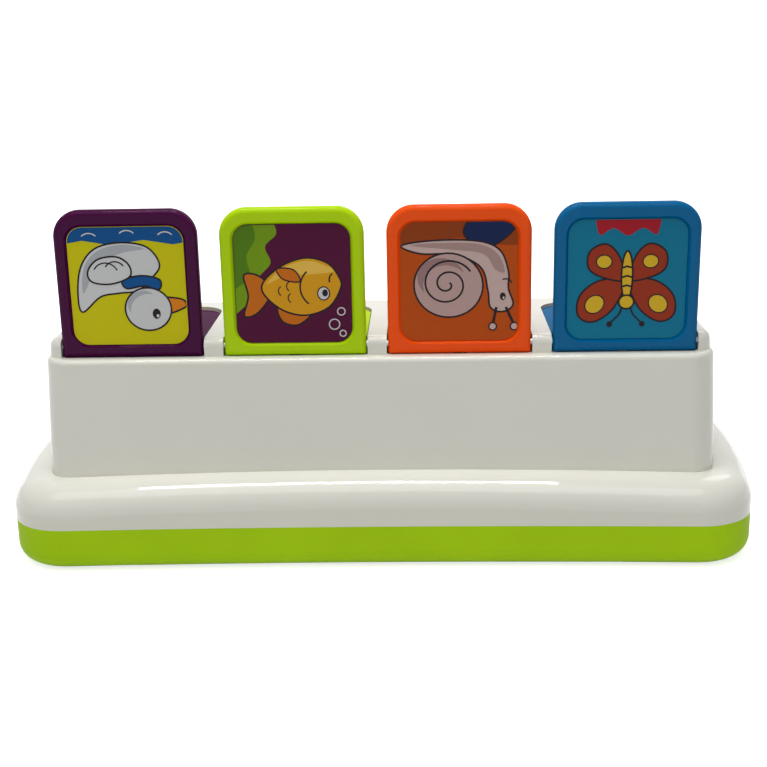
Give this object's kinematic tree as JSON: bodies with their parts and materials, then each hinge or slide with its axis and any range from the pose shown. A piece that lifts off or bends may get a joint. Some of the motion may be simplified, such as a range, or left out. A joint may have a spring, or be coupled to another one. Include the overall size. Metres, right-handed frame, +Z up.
{
  "type": "pop up toy",
  "caption": "Free-standing pop up toy: a bowed white housing on a green foot, sprung coloured lids that open to show small animals, and a different control to release each lid.",
  "frame": {"origin": "middle of the footprint, on the surface that the toy stands on", "axes": "+X along the toy's length, +Y to the rear with the lids' hinge, +Z up"},
  "size_m": [0.3484, 0.17, 0.1601],
  "materials": {
    "shell_white": "glossy moulded",
    "tray_green": "glossy moulded",
    "purple": "glossy moulded",
    "green": "glossy moulded",
    "orange": "glossy moulded",
    "blue": "glossy moulded",
    "label_purple": "printed, yellow ground",
    "label_green": "printed, plum ground",
    "label_orange": "printed, orange brown ground",
    "label_blue": "printed, teal ground",
    "steel": "drawn",
    "rubber": "matt",
    "inner_white": "natural acetal",
    "duck_yellow": "moulded",
    "duck_orange": "moulded",
    "fish_orange": "moulded",
    "fish_red": "moulded",
    "snail_blue": "moulded",
    "snail_cream": "moulded",
    "butterfly_pink": "moulded",
    "butterfly_violet": "moulded"
  },
  "bodies": {
    "housing": {"upper_shell": "shell_white", "base_tray": "tray_green", "screws": "steel", "rubber_feet": "rubber", "hinge_rod": "steel", "latch_rod": "steel", "lever_pin": "steel"},
    "lid_purple": {"lid_purple": "purple", "label_purple": "label_purple", "lid_spring_purple": "steel", "duck_body": "duck_yellow", "duck_trim": "duck_orange"},
    "lid_green": {"lid_green": "green", "label_green": "label_green", "lid_spring_green": "steel", "fish_body": "fish_orange", "fish_fins": "fish_red"},
    "lid_orange": {"lid_orange": "orange", "label_orange": "label_orange", "lid_spring_orange": "steel", "snail_house": "snail_blue", "snail_body": "snail_cream"},
    "lid_blue": {"lid_blue": "blue", "label_blue": "label_blue", "lid_spring_blue": "steel", "butterfly_wings": "butterfly_pink", "butterfly_body": "butterfly_violet"},
    "push_button": {"push_button": "purple"},
    "slide_switch": {"slide_switch": "green"},
    "dial": {"dial_knob": "orange", "dial_cam": "inner_white"},
    "flip_lever": {"flip_lever": "blue"},
    "latch_purple": {"latch_purple": "inner_white", "latch_spring_purple": "steel"},
    "latch_green": {"latch_green": "inner_white", "latch_spring_green": "steel"},
    "latch_orange": {"latch_orange": "inner_white", "latch_spring_orange": "steel"},
    "latch_blue": {"latch_blue": "inner_white", "latch_spring_blue": "steel"}
  },
  "joints": [
    {"name": "lid_hinge_purple", "type": "hinge", "parent": "housing", "child": "lid_purple", "pos_m": [0.1095, 0.0567, 0.09805], "axis": [1, 0, 0], "range_deg": [0, 90], "stiffness_Nm_per_rad": 0.012, "springref_deg": -68.75},
    {"name": "lid_hinge_green", "type": "hinge", "parent": "housing", "child": "lid_green", "pos_m": [0.0365, 0.0567, 0.09805], "axis": [1, 0, 0], "range_deg": [0, 90], "stiffness_Nm_per_rad": 0.012, "springref_deg": -68.75},
    {"name": "lid_hinge_orange", "type": "hinge", "parent": "housing", "child": "lid_orange", "pos_m": [-0.0365, 0.0567, 0.09805], "axis": [1, 0, 0], "range_deg": [0, 90], "stiffness_Nm_per_rad": 0.012, "springref_deg": -68.75},
    {"name": "lid_hinge_blue", "type": "hinge", "parent": "housing", "child": "lid_blue", "pos_m": [-0.1095, 0.0567, 0.09805], "axis": [1, 0, 0], "range_deg": [0, 90], "stiffness_Nm_per_rad": 0.012, "springref_deg": -68.75},
    {"name": "button_press", "type": "slide", "parent": "housing", "child": "push_button", "axis": [0, 0.5878, -0.809], "range_m": [0, 0.005], "stiffness_N_per_m": 300, "springref_m": -0.005},
    {"name": "switch_slide", "type": "slide", "parent": "housing", "child": "slide_switch", "axis": [-1, 0, 0], "range_m": [0, 0.016], "stiffness_N_per_m": 60, "springref_m": -0.008},
    {"name": "dial_turn", "type": "hinge", "parent": "housing", "child": "dial", "pos_m": [-0.0365, -0.03972, 0.06688], "axis": [0, 0.5878, -0.809], "range_deg": [0, 75], "stiffness_Nm_per_rad": 0.02, "springref_deg": -17.19},
    {"name": "lever_flip", "type": "hinge", "parent": "housing", "child": "flip_lever", "pos_m": [-0.1095, -0.03428, 0.0628], "axis": [1, 0, 0], "range_deg": [0, 26], "stiffness_Nm_per_rad": 0.03, "springref_deg": -11.46},
    {"name": "latch_pivot_purple", "type": "hinge", "parent": "housing", "child": "latch_purple", "pos_m": [0.1095, -0.006, 0.0753], "axis": [1, 0, 0], "range_deg": [0, 7.05]},
    {"name": "latch_pivot_green", "type": "hinge", "parent": "housing", "child": "latch_green", "pos_m": [0.0365, -0.006, 0.0753], "axis": [1, 0, 0], "range_deg": [0, 7.05]},
    {"name": "latch_pivot_orange", "type": "hinge", "parent": "housing", "child": "latch_orange", "pos_m": [-0.0365, -0.006, 0.0753], "axis": [1, 0, 0], "range_deg": [0, 7.05]},
    {"name": "latch_pivot_blue", "type": "hinge", "parent": "housing", "child": "latch_blue", "pos_m": [-0.1095, -0.006, 0.0753], "axis": [1, 0, 0], "range_deg": [0, 7.05]}
  ],
  "couplings": [
    {"joint": "latch_pivot_purple", "follows": "button_press", "rad_per_m": 24.43},
    {"joint": "latch_pivot_green", "follows": "switch_slide", "rad_per_m": 7.635},
    {"joint": "latch_pivot_orange", "follows": "dial_turn", "ratio": 0.09333},
    {"joint": "latch_pivot_blue", "follows": "lever_flip", "ratio": 0.2692}
  ]
}
